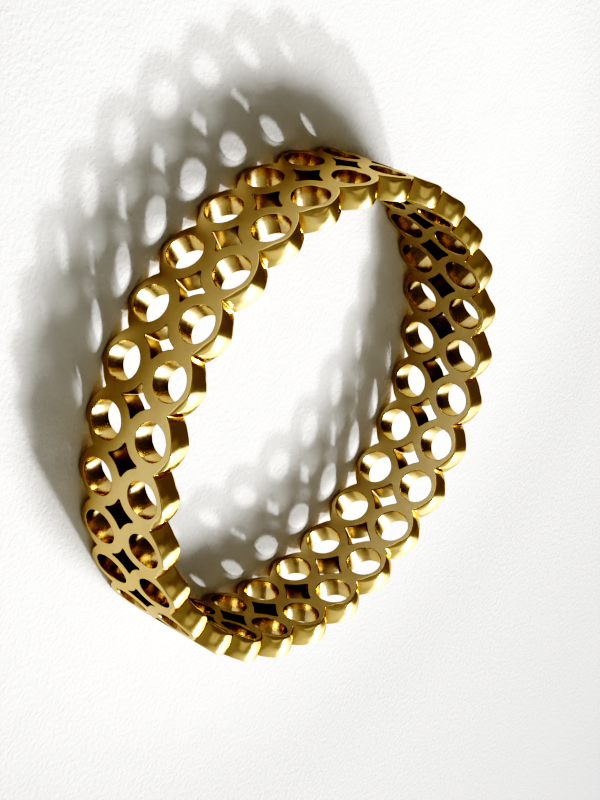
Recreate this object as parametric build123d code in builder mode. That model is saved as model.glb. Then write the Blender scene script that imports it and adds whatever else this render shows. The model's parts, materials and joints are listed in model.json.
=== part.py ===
from build123d import *
import math
import os

# Openwork band ring, lying on its side: the finger's axis is +Z, and the band
# stands on the crowns of its lower scalloped edge at Z = 0.
# All lengths in millimetres.

# ---- driving dimensions -------------------------------------------------
inner_diameter = 17.30      # finger opening
wall = 0.90                 # radial thickness of the band
annuli_per_row = 28         # rings of metal round the band, in each of 2 rows
hole_radius = 0.69          # round hole through each annulus
crown_height = 0.985        # from a row's centre line out to the scallop's top
notch_rise = 0.380          # from a row's centre line out to the notch's tip
opening_length = 1.390      # four-cusped opening, along the finger's axis
opening_width = 1.250       # the same opening, round the band
opening_waist = 0.268       # the opening's arcs pass this far from its centre,
                            # along the axis and round the band alike

# ---- derived ------------------------------------------------------------
inner_radius = inner_diameter / 2
outer_radius = inner_radius + wall
step_angle = 360 / annuli_per_row
pitch = 2 * math.pi * outer_radius / annuli_per_row   # along the outer face
row_spacing = pitch                                   # a square lattice
band_width = row_spacing + 2 * crown_height
mid_height = band_width / 2
lower_row = mid_height - row_spacing / 2
upper_row = mid_height + row_spacing / 2

margin = 0.30                       # blanks stand this far proud before turning
blank_depth = wall + 2 * margin
half_block = 0.53 * pitch           # crown blocks lap over their neighbours


def crown_drop(x):
    """Height of a scallop's arc over the row's centre line, x to its side."""
    half = pitch / 2
    radius = (half ** 2 + (crown_height - notch_rise) ** 2) / (
        2 * (crown_height - notch_rise))
    return crown_height - radius + math.sqrt(radius ** 2 - x ** 2)


def facing_out(angle, height, start_radius, up=1):
    """A plane that looks out from the ring's axis, its Y along +Z or -Z."""
    c, s = math.cos(math.radians(angle)), math.sin(math.radians(angle))
    return Plane(
        origin=(start_radius * c, start_radius * s, height),
        x_dir=(-s * up, c * up, 0),
        z_dir=(c, s, 0),
    )


annulus_angles = [k * step_angle for k in range(annuli_per_row)]
opening_angles = [(k + 0.5) * step_angle for k in range(annuli_per_row)]
blank_start = inner_radius - margin

with BuildPart() as openwork_band:
    # blank between the centre lines of the two rows
    with Locations((0, 0, mid_height)):
        Cylinder(outer_radius + margin, row_spacing)

    # one block with an arched top for each annulus, on both edges
    crown_planes = [facing_out(a, upper_row, blank_start) for a in annulus_angles]
    crown_planes += [
        facing_out(a, lower_row, blank_start, up=-1) for a in annulus_angles]
    with BuildSketch(*crown_planes):
        with BuildLine():
            ThreePointArc(
                (-half_block, crown_drop(half_block)),
                (0, crown_height),
                (half_block, crown_drop(half_block)),
            )
            Polyline(
                (half_block, crown_drop(half_block)),
                (half_block, -row_spacing / 4),
                (-half_block, -row_spacing / 4),
                (-half_block, crown_drop(half_block)),
            )
        make_face()
    extrude(amount=blank_depth)

    # turned to the outer face and bored for the finger
    with Locations((0, 0, mid_height)):
        Cylinder(outer_radius, band_width, mode=Mode.INTERSECT)
        Cylinder(inner_radius, band_width + 2, mode=Mode.SUBTRACT)

    # round hole through each annulus
    hole_planes = [
        facing_out(a, h, blank_start)
        for h in (lower_row, upper_row) for a in annulus_angles]
    with BuildSketch(*hole_planes):
        Circle(hole_radius)
    extrude(amount=blank_depth, mode=Mode.SUBTRACT)

    # four-cusped opening where four annuli meet
    opening_planes = [
        facing_out(a, mid_height, blank_start) for a in opening_angles]
    with BuildSketch(*opening_planes):
        with BuildLine():
            x, y, w = opening_width / 2, opening_length / 2, opening_waist
            ThreePointArc((x, 0), (w, w), (0, y))
            ThreePointArc((0, y), (-w, w), (-x, 0))
            ThreePointArc((-x, 0), (-w, -w), (0, -y))
            ThreePointArc((0, -y), (w, -w), (x, 0))
        make_face()
    extrude(amount=blank_depth, mode=Mode.SUBTRACT)

openwork_band.part.label = "openwork_band"

print("outer diameter", round(2 * outer_radius, 3))
print("pitch", round(pitch, 4), "width", round(band_width, 4))
print("volume mm3", round(openwork_band.part.volume, 3))

os.makedirs("parts", exist_ok=True)
export_step(openwork_band.part, "parts/openwork_band.step")
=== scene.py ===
import json
import math
import bpy
import bmesh
import numpy as np
from mathutils import Matrix, Vector, noise


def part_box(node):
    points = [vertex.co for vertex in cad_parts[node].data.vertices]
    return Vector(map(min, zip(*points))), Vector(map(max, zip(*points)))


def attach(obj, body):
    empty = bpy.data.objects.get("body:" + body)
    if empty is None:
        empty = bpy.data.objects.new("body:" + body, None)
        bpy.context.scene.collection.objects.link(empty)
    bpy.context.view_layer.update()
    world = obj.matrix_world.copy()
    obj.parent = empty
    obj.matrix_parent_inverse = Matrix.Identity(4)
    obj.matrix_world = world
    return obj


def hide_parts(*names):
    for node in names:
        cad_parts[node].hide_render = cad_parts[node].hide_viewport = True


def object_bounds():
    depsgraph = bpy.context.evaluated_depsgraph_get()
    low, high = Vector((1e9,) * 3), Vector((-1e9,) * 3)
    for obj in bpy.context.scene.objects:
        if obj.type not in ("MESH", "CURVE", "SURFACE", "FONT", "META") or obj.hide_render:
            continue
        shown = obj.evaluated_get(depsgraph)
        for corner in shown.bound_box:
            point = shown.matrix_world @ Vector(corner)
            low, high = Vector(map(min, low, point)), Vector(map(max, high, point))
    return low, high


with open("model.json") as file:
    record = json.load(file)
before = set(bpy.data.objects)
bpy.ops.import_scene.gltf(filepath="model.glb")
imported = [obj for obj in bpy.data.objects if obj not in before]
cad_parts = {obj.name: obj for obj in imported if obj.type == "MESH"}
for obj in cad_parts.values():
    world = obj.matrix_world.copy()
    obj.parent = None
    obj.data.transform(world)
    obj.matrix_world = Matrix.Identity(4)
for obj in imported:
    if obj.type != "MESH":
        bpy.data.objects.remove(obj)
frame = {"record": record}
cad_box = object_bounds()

MM = 0.001
scene = bpy.context.scene

# ---------------------------------------------------------------- the ring
# An openwork band, lying on its side. Lengths are in millimetres, and the
# pattern is laid out on the unrolled band: u round it in annulus pitches,
# v along the finger's axis in pitches, both from an annulus's centre, with v
# growing towards the scalloped edge.
lo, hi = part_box("openwork_band")
R_OUT = (hi.x - lo.x) / 2 / MM
R_IN = frame["record"]["mounts"][0]["dims"]["r_mm"]
WIDTH = (hi.z - lo.z) / MM
MID = WIDTH / 2
COUNT = 28
STEP = 2 * math.pi / COUNT
PITCH = STEP * R_OUT
WALL = R_OUT - R_IN

CROWN = WIDTH / 2 / PITCH - 0.5      # scallop's top, from the row's centre line
BEVEL = 0.030                        # softened edge of every opening
CUSP = 0.045                         # radius left in each cusp by the tool
GROOVE = 0.026                       # and in each notch
BULGE = 0.022                        # the walls are a little fuller half way down
# hand polishing rounded both edges of each scallop: (bore, outer face), first how
# far down the wall, then how much was taken off the outline
ROUND_DOWN = (0.070, 0.060)
ROUND_IN = (0.055, 0.050)
FLANK_DOWN = (0.280, 0.330)          # and this much more on one flank of each
FLANK_IN = (0.150, 0.185)
CREST = 0.028                        # the scallop's wall stays fuller half way down
TWIST = 0.14                         # its crest wanders across the wall, in half pitches
# bore, outer face: in pitches, as seen on that surface
HOLE_U = (0.337, 0.322)
HOLE_V = (0.331, 0.322)
OPEN_U = (0.309, 0.290)              # four-cusped opening: half width to its tips
OPEN_V = (0.305, 0.330)              # and half length
WAIST = (0.145, 0.125)               # its sides pass this far from its centre
NOTCH = (0.193, 0.180)               # notch's tip, from the row's centre line

N_FILLET, N_CROWN, N_OPEN, N_NECK, N_LINK = 3, 13, 8, 4, 6
N_FACE, N_WALL, N_BEVEL = 1, 4, 2
N_SIDE, N_ROUND = 4, 5               # the outline's wall, and each of its rounded edges


def circle_through(a, b, c):
    """Centre and radius of the circle through three points."""
    (ax, ay), (bx, by), (cx, cy) = a, b, c
    d = 2 * (ax * (by - cy) + bx * (cy - ay) + cx * (ay - by))
    ux = ((ax**2 + ay**2) * (by - cy) + (bx**2 + by**2) * (cy - ay)
          + (cx**2 + cy**2) * (ay - by)) / d
    uy = ((ax**2 + ay**2) * (cx - bx) + (bx**2 + by**2) * (ax - cx)
          + (cx**2 + cy**2) * (bx - ax)) / d
    return np.array([ux, uy]), math.hypot(ax - ux, ay - uy)


def arc(c, r, p, q, n, ends=(True, True)):
    """n + 1 points on the circle's shorter way from p to q."""
    a0 = math.atan2(p[1] - c[1], p[0] - c[0])
    a1 = math.atan2(q[1] - c[1], q[0] - c[0])
    d = (a1 - a0 + math.pi) % (2 * math.pi) - math.pi
    t = np.linspace(0, 1, n + 1)[(0 if ends[0] else 1):(None if ends[1] else -1)]
    return np.stack([c[0] + r * np.cos(a0 + d * t), c[1] + r * np.sin(a0 + d * t)], 1)


def between(c, rad, p_tip, along_x):
    """Centre of the fillet in a cusp whose tip is on an axis, beside circle c."""
    if along_x:
        return np.array([c[0] + math.sqrt((rad + CUSP) ** 2 - (c[1] - p_tip[1]) ** 2), p_tip[1]])
    sign = 1 if p_tip[1] > c[1] else -1
    return np.array([p_tip[0], c[1] + sign * math.sqrt((rad + CUSP) ** 2 - (c[0] - p_tip[0]) ** 2)])


def outline(level):
    """Right half of one annulus's outline on the bore (0) or outer face (1).

    Points in mm on that surface, from the cusp on the band's mid line up the
    opening's side, and from the notch up to the scallop's top, each with its
    outward normals.
    """
    r = (R_IN, R_OUT)[level]
    hx, hy = STEP * r / 2, PITCH / 2          # half a cell
    hu, hv, w = OPEN_U[level] * STEP * r, OPEN_V[level] * PITCH, WAIST[level]
    waist = (-w * STEP * r, w * PITCH)
    ou, ov = hu, hv
    for _ in range(60):                       # sharp tips that leave the rounded ones at hu, hv
        c, rad = circle_through((-ou, 0), waist, (0, ov))
        f1 = between(c, rad, (-ou, 0.0), True)
        f2 = between(c, rad, (0.0, ov), False)
        ou = min(ou + 0.5 * (hu + (f1[0] - CUSP)), 1.12 * hu)
        ov = min(ov + 0.5 * (hv - (f2[1] + CUSP)), 1.12 * hv)
    p1 = c + rad * (f1 - c) / (rad + CUSP)
    p2 = c + rad * (f2 - c) / (rad + CUSP)
    a1 = arc(f1, CUSP, f1 - (CUSP, 0), p1, N_FILLET)
    a2 = arc(f2, CUSP, p2, f2 + (0, CUSP), N_FILLET)[1:]
    mid = arc(c, rad, p1, p2, N_OPEN)[1:]
    side = np.vstack([a1, mid, a2]) + (hx, -hy)
    side_n = np.vstack([(f1 - a1) / CUSP, (mid - c) / rad, (f2 - a2) / CUSP])
    # the scallop: one arc from notch to notch
    top, tip = (0.0, CROWN * PITCH - CREST), NOTCH[level] * PITCH
    ty = tip
    for _ in range(60):
        c, rad = circle_through((-hx, ty), top, (hx, ty))
        g = np.array([hx, c[1] + math.sqrt((rad + GROOVE) ** 2 - hx ** 2)])
        ty += 0.5 * (tip - (g[1] - GROOVE))
    p3 = c + rad * (g - c) / (rad + GROOVE)
    a3 = arc(g, GROOVE, g - (0, GROOVE), p3, N_FILLET)
    cr = arc(c, rad, p3, top, N_CROWN)[1:]
    crown = np.vstack([a3, cr])
    crown_n = np.vstack([(g - a3) / GROOVE, (cr - c) / rad])
    return side, side_n, crown, crown_n


def columns(level):
    """All of one annulus's outline: points, outward normals, free flags.

    Counter-clockwise from the middle of the link to the other row. Free
    points carry a wall; the others lie on a shared neck and carry none.
    """
    side, side_n, crown, crown_n = outline(level)
    link_end, neck_lo, neck_hi = side[0], side[-1], crown[0]
    b = BEVEL
    lk = np.linspace(0, link_end[0] - b, N_LINK // 2 + 1)[:-1]
    link = np.stack([lk, np.full(len(lk), link_end[1])], 1)
    nk = np.linspace(neck_lo[1] + b, neck_hi[1] - b, N_NECK + 1)[1:-1]
    neck = np.stack([np.full(len(nk), neck_lo[0]), nk], 1)
    right = np.vstack([link, side, neck, crown])
    free = np.r_[np.zeros(len(link)), np.ones(len(side)),
                 np.zeros(len(neck)), np.ones(len(crown))].astype(bool)
    nor = np.vstack([np.tile([0, -1.0], (len(link), 1)), side_n,
                     np.tile([1.0, 0], (len(neck), 1)), crown_n])
    # mirrored: drop the scallop's top and the link's middle, which are shared
    left = right[1:-1][::-1] * [-1, 1]
    left_n = nor[1:-1][::-1] * [-1, 1]
    # where each point is between its notches, -1 to 1, and 9 off the scallop
    along = np.r_[np.full(len(link) + len(side) + len(neck), 9.0), crown[:, 0] / neck_hi[0]]
    return (np.vstack([right, left]), np.vstack([nor, left_n]),
            np.r_[free, free[1:-1][::-1]], np.r_[along, np.where(along == 9, 9, -along)[1:-1][::-1]])


def build_band():
    inner, inner_n, free, along = columns(0)
    outer, outer_n = columns(1)[:2]
    n = len(free)
    # how much of the polishing each point took: all at the top, none in a notch
    worn = np.where(along == 9, 0.0, 1 - np.minimum(np.abs(along), 1) ** 4)
    wander = np.where(along == 9, 0.0, 1 - np.minimum(np.abs(along), 1) ** 2)
    flank = [np.clip((side * along + 0.12) / 0.70, 0, 1) for side in (-1, 1)]
    flank = [np.where(along == 9, 0.0, f ** 2 * (3 - 2 * f)) for f in flank]
    phi = np.arctan2(outer[:, 1], outer[:, 0])
    inner_u, outer_u = inner / (R_IN * STEP, PITCH), outer / (R_OUT * STEP, PITCH)
    quarter = np.linspace(0, math.pi / 2, N_BEVEL + 1)
    turn = np.linspace(0, math.pi / 2, N_ROUND + 1)
    tb = BEVEL / WALL
    rng = np.random.default_rng(28)
    verts, quads, zones, base = [], [], [], 0
    for row in (1, -1):
        for k in range(COUNT):
            # finished by hand: no two holes or scallops are quite alike
            ju, jv = rng.normal(0, 0.0035, 2)
            jr = 1 + rng.normal(0, 0.006)
            amount = 1 + rng.normal(0, 0.10, 2)
            more = 1 + rng.normal(0, 0.12)
            twist = TWIST * (1 + rng.normal(0, 0.12))
            down = [BEVEL + worn * ((ROUND_DOWN[i] + FLANK_DOWN[i] * flank[i] * more) * amount[i] - BEVEL)
                    for i in (0, 1)]
            taken = [BEVEL + worn * ((ROUND_IN[i] + FLANK_IN[i] * flank[i] * more) * amount[i] - BEVEL)
                     for i in (0, 1)]
            fuller = BULGE + (CREST - BULGE) * worn
            layers = []                        # (angle, height, radius) of all columns

            def outline_at(depth, inset):
                """The outline at these depths under the outer face, set in by these amounts."""
                r = R_OUT - depth
                t = ((r - R_IN) / WALL)[:, None]
                nor = (1 - t) * inner_n + t * outer_n
                nor /= np.linalg.norm(nor, axis=1)[:, None]
                xy = ((1 - t) * inner_u + t * outer_u) * np.stack([r * STEP, np.full(n, PITCH)], 1)
                xy = xy - np.where(free, inset, 0)[:, None] * nor
                xy[:, 0] += twist * (2 * t[:, 0] - 1) * wander * r * STEP / 2
                return xy, r

            def hole_at(depth, inset):
                r = R_OUT - depth
                t = (r - R_IN) / WALL
                au = ((1 - t) * HOLE_U[0] + t * HOLE_U[1]) * r * STEP * jr + inset
                av = ((1 - t) * HOLE_V[0] + t * HOLE_V[1]) * PITCH * jr + inset
                return np.stack([au * np.cos(phi) + ju * PITCH,
                                 av * np.sin(phi) + jv * PITCH], 1), np.full(n, r)

            def put(xy, r):
                layers.append(np.stack([xy[:, 0] / r, xy[:, 1], r], 1))

            none = np.zeros(n)
            for side in (1, 0):                # across the outer face and down the hole, then the bore
                depth = 0.0 if side else WALL
                start, r = outline_at(none + depth, taken[side])
                stop = hole_at(depth, BEVEL)[0]
                face = [(start * (1 - f) + stop * f, r) for f in np.linspace(0, 1, N_FACE + 1)[:-1]]
                rounds = [hole_at(abs(depth - BEVEL * (1 - math.cos(a))), BEVEL * (1 - math.sin(a)))
                          for a in quarter]
                if side:
                    for step_ in face + rounds:
                        put(*step_)
                    for s in np.linspace(0, 1, N_WALL + 1)[1:-1]:
                        put(*hole_at(BEVEL + (WALL - 2 * BEVEL) * s, -BULGE * math.sin(math.pi * s)))
                else:
                    for step_ in rounds[::-1] + face[::-1]:
                        put(*step_)
            n_open = len(layers)
            for a in turn[1:]:
                put(*outline_at(WALL - down[0] * (1 - math.cos(a)), taken[0] * (1 - math.sin(a))))
            for s in np.linspace(0, 1, N_SIDE + 1)[1:-1]:
                put(*outline_at((WALL - down[0]) * (1 - s) + down[1] * s, -fuller * math.sin(math.pi * s)))
            for a in turn[:0:-1]:
                put(*outline_at(down[1] * (1 - math.cos(a)), taken[1] * (1 - math.sin(a))))
            m = len(layers)
            L = np.stack(layers, 1)
            th, rr = k * STEP + L[..., 0], L[..., 2]
            verts.append(np.stack([rr * np.cos(th), rr * np.sin(th),
                                   MID + row * (PITCH / 2 + L[..., 1])], -1).reshape(-1, 3))
            i0 = np.arange(n)
            i1 = (i0 + 1) % n
            for j in range(m):
                ok = np.ones(n, bool) if j < n_open - 1 else free & free[i1]
                a, b = i0[ok], i1[ok]
                j1 = (j + 1) % m
                q = np.stack([a * m + j, b * m + j, b * m + j1, a * m + j1], 1) + base
                quads.append(q if row > 0 else q[:, ::-1])
                if j < N_FACE:
                    zones.append(np.zeros(len(q)))
                elif n_open - 1 - N_FACE <= j < n_open - 1:
                    zones.append(np.full(len(q), 4))
                elif j < n_open - 1:
                    zones.append(np.full(len(q), 2))
                else:
                    zones.append(np.where((outer[a, 1] > 0) & (outer[b, 1] > 0), 1, 3))
            base += n * m
    return np.vstack(verts), np.vstack(quads), np.concatenate(zones)


V, Q, Z = build_band()
me = bpy.data.meshes.new("openwork_band_metal")
me.from_pydata((V * MM).tolist(), [], Q.tolist())
me.polygons.foreach_set("material_index", Z.astype(np.int32))
bm = bmesh.new()
bm.from_mesh(me)
bmesh.ops.delete(bm, geom=[v for v in bm.verts if not v.link_faces], context="VERTS")
bmesh.ops.remove_doubles(bm, verts=bm.verts, dist=4e-8)
bmesh.ops.recalc_face_normals(bm, faces=bm.faces)
print("open edges", sum(len(e.link_faces) != 2 for e in bm.edges), "faces", len(bm.faces),
      "verts", len(bm.verts), "volume mm3", bm.calc_volume() * 1e9)
bm.to_mesh(me)
bm.free()

# hand finishing: soft waves on the walls, almost none on the faces
co = np.zeros(len(me.vertices) * 3, np.float32)
me.vertices.foreach_get("co", co)
co = co.reshape(-1, 3).astype(float)
rad = np.hypot(co[:, 0], co[:, 1]) / MM
on_face = (rad > R_OUT - 1e-4) | (rad < R_IN + 1e-4)
me.update()
nor = np.zeros(len(me.vertices) * 3, np.float32)
me.vertices.foreach_get("normal", nor)
nor = nor.reshape(-1, 3).astype(float)
wave = np.array([noise.noise(Vector(p * 1100.0)) + 0.45 * noise.noise(Vector(p * 2600.0) + Vector((7, 3, 1)))
                 for p in co])
co += nor * (wave * np.where(on_face, 0.0015, 0.010) * MM)[:, None]
blo, bhi = np.array(cad_box[0]), np.array(cad_box[1])
co = np.clip(co, blo, bhi)
me.vertices.foreach_set("co", co.astype(np.float32).ravel())
me.update()

# area-weighted normals keep the satin faces even and the narrow edges soft
polys = np.zeros(len(me.polygons) * 3, np.float32)
me.polygons.foreach_get("normal", polys)
polys = polys.reshape(-1, 3)
area = np.zeros(len(me.polygons), np.float32)
me.polygons.foreach_get("area", area)
loops = np.zeros(len(me.loops), np.int32)
me.loops.foreach_get("vertex_index", loops)
total = np.zeros(len(me.polygons), np.int32)
me.polygons.foreach_get("loop_total", total)
owner = np.repeat(np.arange(len(me.polygons)), total)
acc = np.zeros((len(me.vertices), 3))
np.add.at(acc, loops, polys[owner] * area[owner][:, None])
acc /= np.maximum(np.linalg.norm(acc, axis=1)[:, None], 1e-20)
me.shade_smooth()
me.normals_split_custom_set_from_vertices(acc.tolist())

band = bpy.data.objects.new("openwork_band_metal", me)
scene.collection.objects.link(band)


# ---------------------------------------------------------------- materials
def new_material(name):
    m = bpy.data.materials.new(name)
    m.use_nodes = True
    nt = m.node_tree
    return m, nt, nt.nodes["Principled BSDF"]


def noise_node(nt, coord, scale, detail=3.0, rough=0.5, loc=(0, 0)):
    n = nt.nodes.new("ShaderNodeTexNoise")
    n.inputs["Scale"].default_value = scale
    n.inputs["Detail"].default_value = detail
    n.inputs["Roughness"].default_value = rough
    n.location = loc
    nt.links.new(coord, n.inputs["Vector"])
    return n


def remap(nt, value, a, b, c, d):
    n = nt.nodes.new("ShaderNodeMapRange")
    n.inputs["From Min"].default_value = a
    n.inputs["From Max"].default_value = b
    n.inputs["To Min"].default_value = c
    n.inputs["To Max"].default_value = d
    nt.links.new(value, n.inputs["Value"])
    return n.outputs["Result"]


def mix_color(nt, fac, a, b):
    n = nt.nodes.new("ShaderNodeMix")
    n.data_type = "RGBA"
    nt.links.new(fac, n.inputs["Factor"])
    for sock, val in ((n.inputs[6], a), (n.inputs[7], b)):
        if isinstance(val, tuple):
            sock.default_value = val
        else:
            nt.links.new(val, sock)
    return n.outputs[2]


def mix_float(nt, fac, a, b):
    n = nt.nodes.new("ShaderNodeMix")
    n.data_type = "FLOAT"
    nt.links.new(fac, n.inputs[0])
    nt.links.new(a, n.inputs[2])
    n.inputs[3].default_value = b
    return n.outputs[0]


def gold(name, light, deep, rough, rough_spread, bump, fine, scale=16.0, detail=4.0, painted_bore_shade=None, wear=0.6,
         edge_on=(0.84, 0.71, 0.47, 1)):
    """Gold with cloudy colour, grain and edges worn bright, with painted shade towards the bore if asked."""
    m, nt, bsdf = new_material(name)
    tc = nt.nodes.new("ShaderNodeTexCoord")
    mp = nt.nodes.new("ShaderNodeMapping")
    mp.inputs["Scale"].default_value = (1000, 1000, 1000)      # millimetres
    nt.links.new(tc.outputs["Object"], mp.inputs["Vector"])
    mm = mp.outputs["Vector"]
    cloud = noise_node(nt, mm, 0.9, 3.0)
    grain = noise_node(nt, mm, scale, detail, 0.6)
    speck = noise_node(nt, mm, 45.0, 2.0, 0.5)
    tone = remap(nt, cloud.outputs["Fac"], 0.35, 0.65, 0.0, 1.0)
    base = mix_color(nt, tone, light, deep)
    # painted shade: the base colour darkens towards the bore, deepest inside the holes and openings
    if painted_bore_shade:
        flat = nt.nodes.new("ShaderNodeVectorMath")
        flat.operation = "MULTIPLY"
        flat.inputs[1].default_value = (1, 1, 0)
        nt.links.new(mm, flat.inputs[0])
        far = nt.nodes.new("ShaderNodeVectorMath")
        far.operation = "LENGTH"
        nt.links.new(flat.outputs["Vector"], far.inputs[0])
        base = mix_color(nt, remap(nt, far.outputs["Value"], R_IN + 0.05, R_IN + 0.60, 1.0, 0.0), base, painted_bore_shade)
    # worn bright and smooth along the edges
    geo = nt.nodes.new("ShaderNodeNewGeometry")
    edge = remap(nt, geo.outputs["Pointiness"], 0.53, 0.66, 0.0, wear)
    bright = tuple(min(1.0, c * 1.25) for c in light[:3]) + (1,)
    nt.links.new(mix_color(nt, edge, base, bright), bsdf.inputs["Base Color"])
    bsdf.inputs["Metallic"].default_value = 1.0
    bsdf.inputs["Specular Tint"].default_value = edge_on       # stays golden where it is seen edge-on
    r = remap(nt, grain.outputs["Fac"], 0.3, 0.7, rough - rough_spread, rough + rough_spread)
    nt.links.new(mix_float(nt, edge, r, 0.14), bsdf.inputs["Roughness"])
    b1 = nt.nodes.new("ShaderNodeBump")
    b1.inputs["Strength"].default_value = 1.0
    b1.inputs["Distance"].default_value = bump * MM
    nt.links.new(grain.outputs["Fac"], b1.inputs["Height"])
    b2 = nt.nodes.new("ShaderNodeBump")
    b2.inputs["Strength"].default_value = 1.0
    b2.inputs["Distance"].default_value = fine * MM
    nt.links.new(speck.outputs["Fac"], b2.inputs["Height"])
    nt.links.new(b1.outputs["Normal"], b2.inputs["Normal"])
    nt.links.new(b2.outputs["Normal"], bsdf.inputs["Normal"])
    return m


satin = gold("gold_satin", (0.570, 0.420, 0.208, 1), (0.520, 0.378, 0.184, 1), 0.37, 0.03, 0.0003, 0.0001, wear=0.1,
             edge_on=(0.90, 0.80, 0.60, 1))
polish = gold("gold_polished", (0.80, 0.595, 0.290, 1), (0.76, 0.555, 0.255, 1), 0.12, 0.04, 0.0007, 0.0002, wear=0.3)
# hole walls: a darker gold than the polished walls, painted shade inside the holes, with more painted shade towards
# the bore
drilled = gold("gold_drilled", (0.56, 0.425, 0.225, 1), (0.45, 0.330, 0.165, 1), 0.24, 0.05, 0.0032, 0.0002, 5.0, 2.0,
               painted_bore_shade=(0.33, 0.245, 0.130, 1), edge_on=(0.78, 0.65, 0.44, 1))
# walls of the four-cusped openings: a much darker gold, painted shade, darkest towards the bore
shaded_opening_gold = gold("gold_recess", (0.33, 0.250, 0.140, 1), (0.23, 0.170, 0.092, 1), 0.36, 0.08, 0.0080, 0.0003, 4.0, 2.0,
              painted_bore_shade=(0.21, 0.152, 0.080, 1), edge_on=(0.78, 0.65, 0.44, 1))
bore = gold("gold_bore", (0.545, 0.425, 0.243, 1), (0.495, 0.383, 0.216, 1), 0.42, 0.03, 0.0003, 0.0001, wear=0.1,
            edge_on=(0.94, 0.86, 0.70, 1))
for m in (satin, polish, drilled, shaded_opening_gold, bore):
    me.materials.append(m)
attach(band, "root")
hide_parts("openwork_band")

# ---------------------------------------------------------------- floor
bpy.ops.mesh.primitive_grid_add(x_subdivisions=8, y_subdivisions=8, size=1.2, location=(0, 0, 0))
floor = bpy.context.object
floor.name = "floor"
fm, nt, bsdf = new_material("pale_paper")
tc = nt.nodes.new("ShaderNodeTexCoord")
mp = nt.nodes.new("ShaderNodeMapping")
mp.inputs["Scale"].default_value = (1000, 1000, 1000)
nt.links.new(tc.outputs["Object"], mp.inputs["Vector"])
n1 = noise_node(nt, mp.outputs["Vector"], 0.55, 5.0, 0.6)
n2 = noise_node(nt, mp.outputs["Vector"], 5.0, 3.0, 0.6)
mottled = mix_color(nt, remap(nt, n1.outputs["Fac"], 0.4, 0.75, 0, 1),
                    (0.73, 0.73, 0.725, 1), (0.68, 0.68, 0.675, 1))
# painted pool of light: the floor is painted whitest where the ring lies and fades to a mottled grey outside it,
# darker still further out
light_pool_distance = nt.nodes.new("ShaderNodeVectorMath")
light_pool_distance.operation = "DISTANCE"
light_pool_distance.inputs[1].default_value = (5.0, 0, 0)
nt.links.new(mp.outputs["Vector"], light_pool_distance.inputs[0])
light_pool_edge = nt.nodes.new("ShaderNodeMapRange")
light_pool_edge.interpolation_type = "SMOOTHSTEP"
for key, val in (("From Min", 13.0), ("From Max", 27.0), ("To Min", 0.0), ("To Max", 1.0)):
    light_pool_edge.inputs[key].default_value = val
nt.links.new(light_pool_distance.outputs["Value"], light_pool_edge.inputs["Value"])
# the mottled grey that the painted pool of light fades to
outer = mix_color(nt, remap(nt, n2.outputs["Fac"], 0.35, 0.65, 0, 1), (0.525, 0.525, 0.53, 1), (0.475, 0.475, 0.48, 1))
painted_light_pool_floor = mix_color(nt, light_pool_edge.outputs["Result"], mottled, outer)
# painted falloff: a deeper grey far from the ring
painted_far_falloff = remap(nt, light_pool_distance.outputs["Value"], 30.0, 58.0, 0.0, 1.0)
nt.links.new(mix_color(nt, painted_far_falloff, painted_light_pool_floor, (0.37, 0.37, 0.374, 1)), bsdf.inputs["Base Color"])
bsdf.inputs["Roughness"].default_value = 0.85
bsdf.inputs["Specular IOR Level"].default_value = 0.2
bp = nt.nodes.new("ShaderNodeBump")
bp.inputs["Distance"].default_value = 0.045 * MM
nt.links.new(n2.outputs["Fac"], bp.inputs["Height"])
nt.links.new(bp.outputs["Normal"], bsdf.inputs["Normal"])
floor.data.materials.append(fm)


# ---------------------------------------------------------------- light
def area(name, az, el, dist, size, power, color=(1, 1, 1), shape="DISK", size_y=None):
    l = bpy.data.lights.new(name, "AREA")
    l.shape = shape
    l.size = size
    if size_y:
        l.size_y = size_y
    l.energy = power
    l.color = color
    o = bpy.data.objects.new(name, l)
    a, e = math.radians(az), math.radians(el)
    p = Vector((math.cos(e) * math.cos(a), math.cos(e) * math.sin(a), math.sin(e))) * dist
    o.location = p
    o.rotation_euler = (-p).to_track_quat("-Z", "Y").to_euler()
    scene.collection.objects.link(o)
    return o


# a low lamp that draws the light spots, a larger one above it, and round both
# the glow of a tall softbox, which is part of the surroundings below
area("key_low", 222.1, 32.5, 0.6, 0.032, 2.80)
area("key_high", 233.0, 42.3, 0.6, 0.150, 3.90)

world = bpy.data.worlds.new("studio")
scene.world = world
world.use_nodes = True
wn = world.node_tree
bg = wn.nodes["Background"]


def wmath(op, a, b=None, clamp=False):
    n = wn.nodes.new("ShaderNodeMath")
    n.operation = op
    n.use_clamp = clamp
    for sock, val in zip(n.inputs, (a, b)):
        if val is None:
            continue
        if isinstance(val, (int, float)):
            sock.default_value = val
        else:
            wn.links.new(val, sock)
    return n.outputs[0]


def wrange(v, a, b, c=0.0, d=1.0):
    n = wn.nodes.new("ShaderNodeMapRange")
    n.interpolation_type = "LINEAR" if abs(b - a) > 300 else "SMOOTHSTEP"
    for name, val in (("From Min", a), ("From Max", b), ("To Min", c), ("To Max", d)):
        n.inputs[name].default_value = val
    wn.links.new(v, n.inputs["Value"])
    return n.outputs["Result"]


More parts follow.
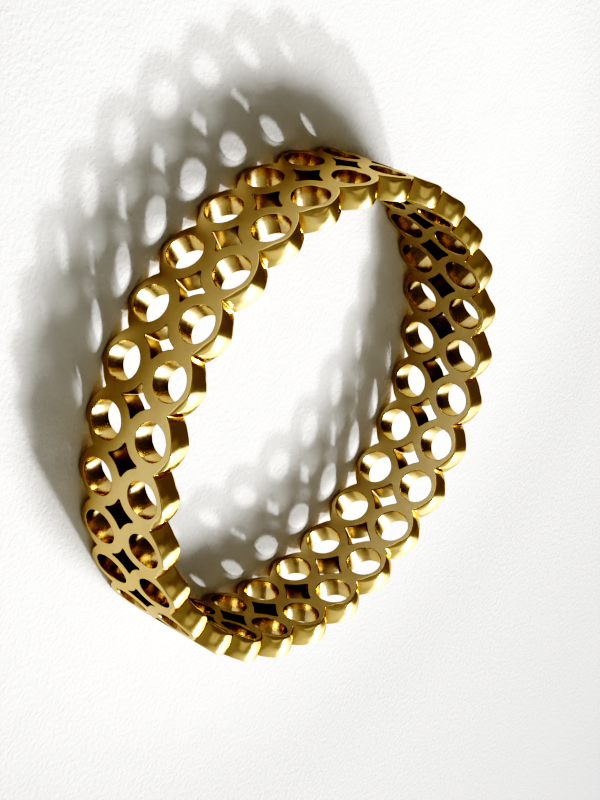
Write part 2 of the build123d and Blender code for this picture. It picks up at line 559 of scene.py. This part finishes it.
SOFTBOX_AZ, SOFTBOX_EL = (206.0, 253.0), (0.0, 50.0)
mid_az = math.radians(sum(SOFTBOX_AZ) / 2)
tcw = wn.nodes.new("ShaderNodeTexCoord")
rot = wn.nodes.new("ShaderNodeVectorRotate")
rot.rotation_type = "Z_AXIS"
rot.inputs["Angle"].default_value = -mid_az
wn.links.new(tcw.outputs["Generated"], rot.inputs["Vector"])
sep = wn.nodes.new("ShaderNodeSeparateXYZ")
wn.links.new(rot.outputs["Vector"], sep.inputs["Vector"])
deg = 180 / math.pi
az = wmath("MULTIPLY", wmath("ARCTAN2", sep.outputs["Y"], sep.outputs["X"]), deg)
el = wmath("MULTIPLY", wmath("ARCSINE", sep.outputs["Z"]), deg)
half = (SOFTBOX_AZ[1] - SOFTBOX_AZ[0]) / 2
box_az = wmath("MULTIPLY", wrange(az, -half - 6, -half + 10), wrange(az, half + 5, half - 3))
box_el = wmath("MULTIPLY", wrange(el, SOFTBOX_EL[0] - 3, SOFTBOX_EL[0] + 3),
               wrange(el, SOFTBOX_EL[1] + 6, SOFTBOX_EL[1] - 4))
softbox = wmath("MULTIPLY", box_az, box_el)
# the room: dim past the softbox's right edge, a little lighter on its left,
# and behind the camera
ramp = wn.nodes.new("ShaderNodeValToRGB")
wn.links.new(wrange(az, -180, 180), ramp.inputs["Fac"])
ramp.color_ramp.interpolation = "EASE"


def room(az_deg):
    return ((az_deg - math.degrees(mid_az) + 180) % 360) / 360


stops = sorted([(room(45), 0.21), (room(100), 0.24), (room(155), 0.25), (room(170), 0.34), (room(185), 0.44),
                (room(200), 0.58), (room(247), 0.42), (room(259), 0.17), (room(272), 0.125), (room(328), 0.125),
                (room(346), 0.165), (room(12), 0.18)])
er = ramp.color_ramp.elements
er[0].position, er[0].color = stops[0][0], (*[stops[0][1]] * 3, 1)
er[1].position, er[1].color = stops[-1][0], (*[stops[-1][1]] * 3, 1)
for pos, val in stops[1:-1]:
    e = er.new(pos)
    e.color = (val, val, val, 1)
over = wrange(el, 50, 68)
# overhead, dimmer to the right and lighter straight above
right = wmath("MULTIPLY", wrange(az, 60, 88), wrange(az, 172, 145))
above = wmath("ADD", wmath("SUBTRACT", 0.22, wmath("MULTIPLY", right, 0.08)),
              wmath("MULTIPLY", wrange(el, 70, 84), 0.27))
level = wmath("ADD", wmath("MULTIPLY", ramp.outputs["Color"], wmath("SUBTRACT", 1.0, over)),
              wmath("MULTIPLY", over, above))
# a lit part of the ceiling, left of the softbox
toward = wn.nodes.new("ShaderNodeVectorMath")
toward.operation = "DOT_PRODUCT"
toward.inputs[1].default_value = (math.cos(math.radians(46)) * math.cos(math.radians(170)),
                                  math.cos(math.radians(46)) * math.sin(math.radians(170)),
                                  math.sin(math.radians(46)))
wn.links.new(tcw.outputs["Generated"], toward.inputs[0])
glow = wrange(toward.outputs["Value"], math.cos(math.radians(30)), math.cos(math.radians(10)), 0.0, 0.26)
level = wmath("ADD", wmath("ADD", level, glow), wmath("MULTIPLY", softbox, 1.6))
wn.links.new(level, bg.inputs["Strength"])
# the room's walls are warmer than its lamps
warm = wn.nodes.new("ShaderNodeMix")
warm.data_type = "RGBA"
wn.links.new(softbox, warm.inputs["Factor"])
warm.inputs[6].default_value = (1.04, 1.0, 0.85, 1)
warm.inputs[7].default_value = (1.0, 1.0, 0.98, 1)
wn.links.new(warm.outputs[2], bg.inputs["Color"])

# ---------------------------------------------------------------- camera
cam = bpy.data.cameras.new("photo_camera")
cam.sensor_fit = "HORIZONTAL"
cam.sensor_width = 36.0
cam.lens = 1871.36 * 36.0 / 600.0
cam.clip_start = 0.001
cam.clip_end = 10.0
camera = bpy.data.objects.new("photo_camera", cam)
right = Vector((0.2371904, -0.6130412, 0.7536055))
down = Vector((-0.9308132, 0.0786381, 0.3569353))
ahead = Vector((-0.2780781, -0.7861276, -0.5519746))
m3 = Matrix((right, -down, -ahead)).transposed()
camera.matrix_world = Matrix.Translation(Vector((19.804, 55.311, 38.668 + MID)) * MM) @ m3.to_4x4()
scene.collection.objects.link(camera)
scene.camera = camera

# the photograph's tone: deep shadows, firm contrast, and a soft shoulder
view = scene.view_settings
view.view_transform = "Standard"
view.look = "None"
view.exposure = 0.0
view.gamma = 1.0
view.use_curve_mapping = True
tone = view.curve_mapping
WHITE = 1.2
tone.white_level = (WHITE, WHITE, WHITE)
curve = tone.curves[3]
curve.points[1].location = (1.0, 1.0)
for x, y in ((0.050, 0.004), (0.077, 0.020), (0.102, 0.053), (0.136, 0.106), (0.181, 0.178), (0.241, 0.270),
             (0.320, 0.384), (0.426, 0.510), (0.566, 0.645), (0.753, 0.790), (1.0, 0.940)):
    curve.points.new(x / WHITE, y)
tone.extend = "HORIZONTAL"
tone.update()
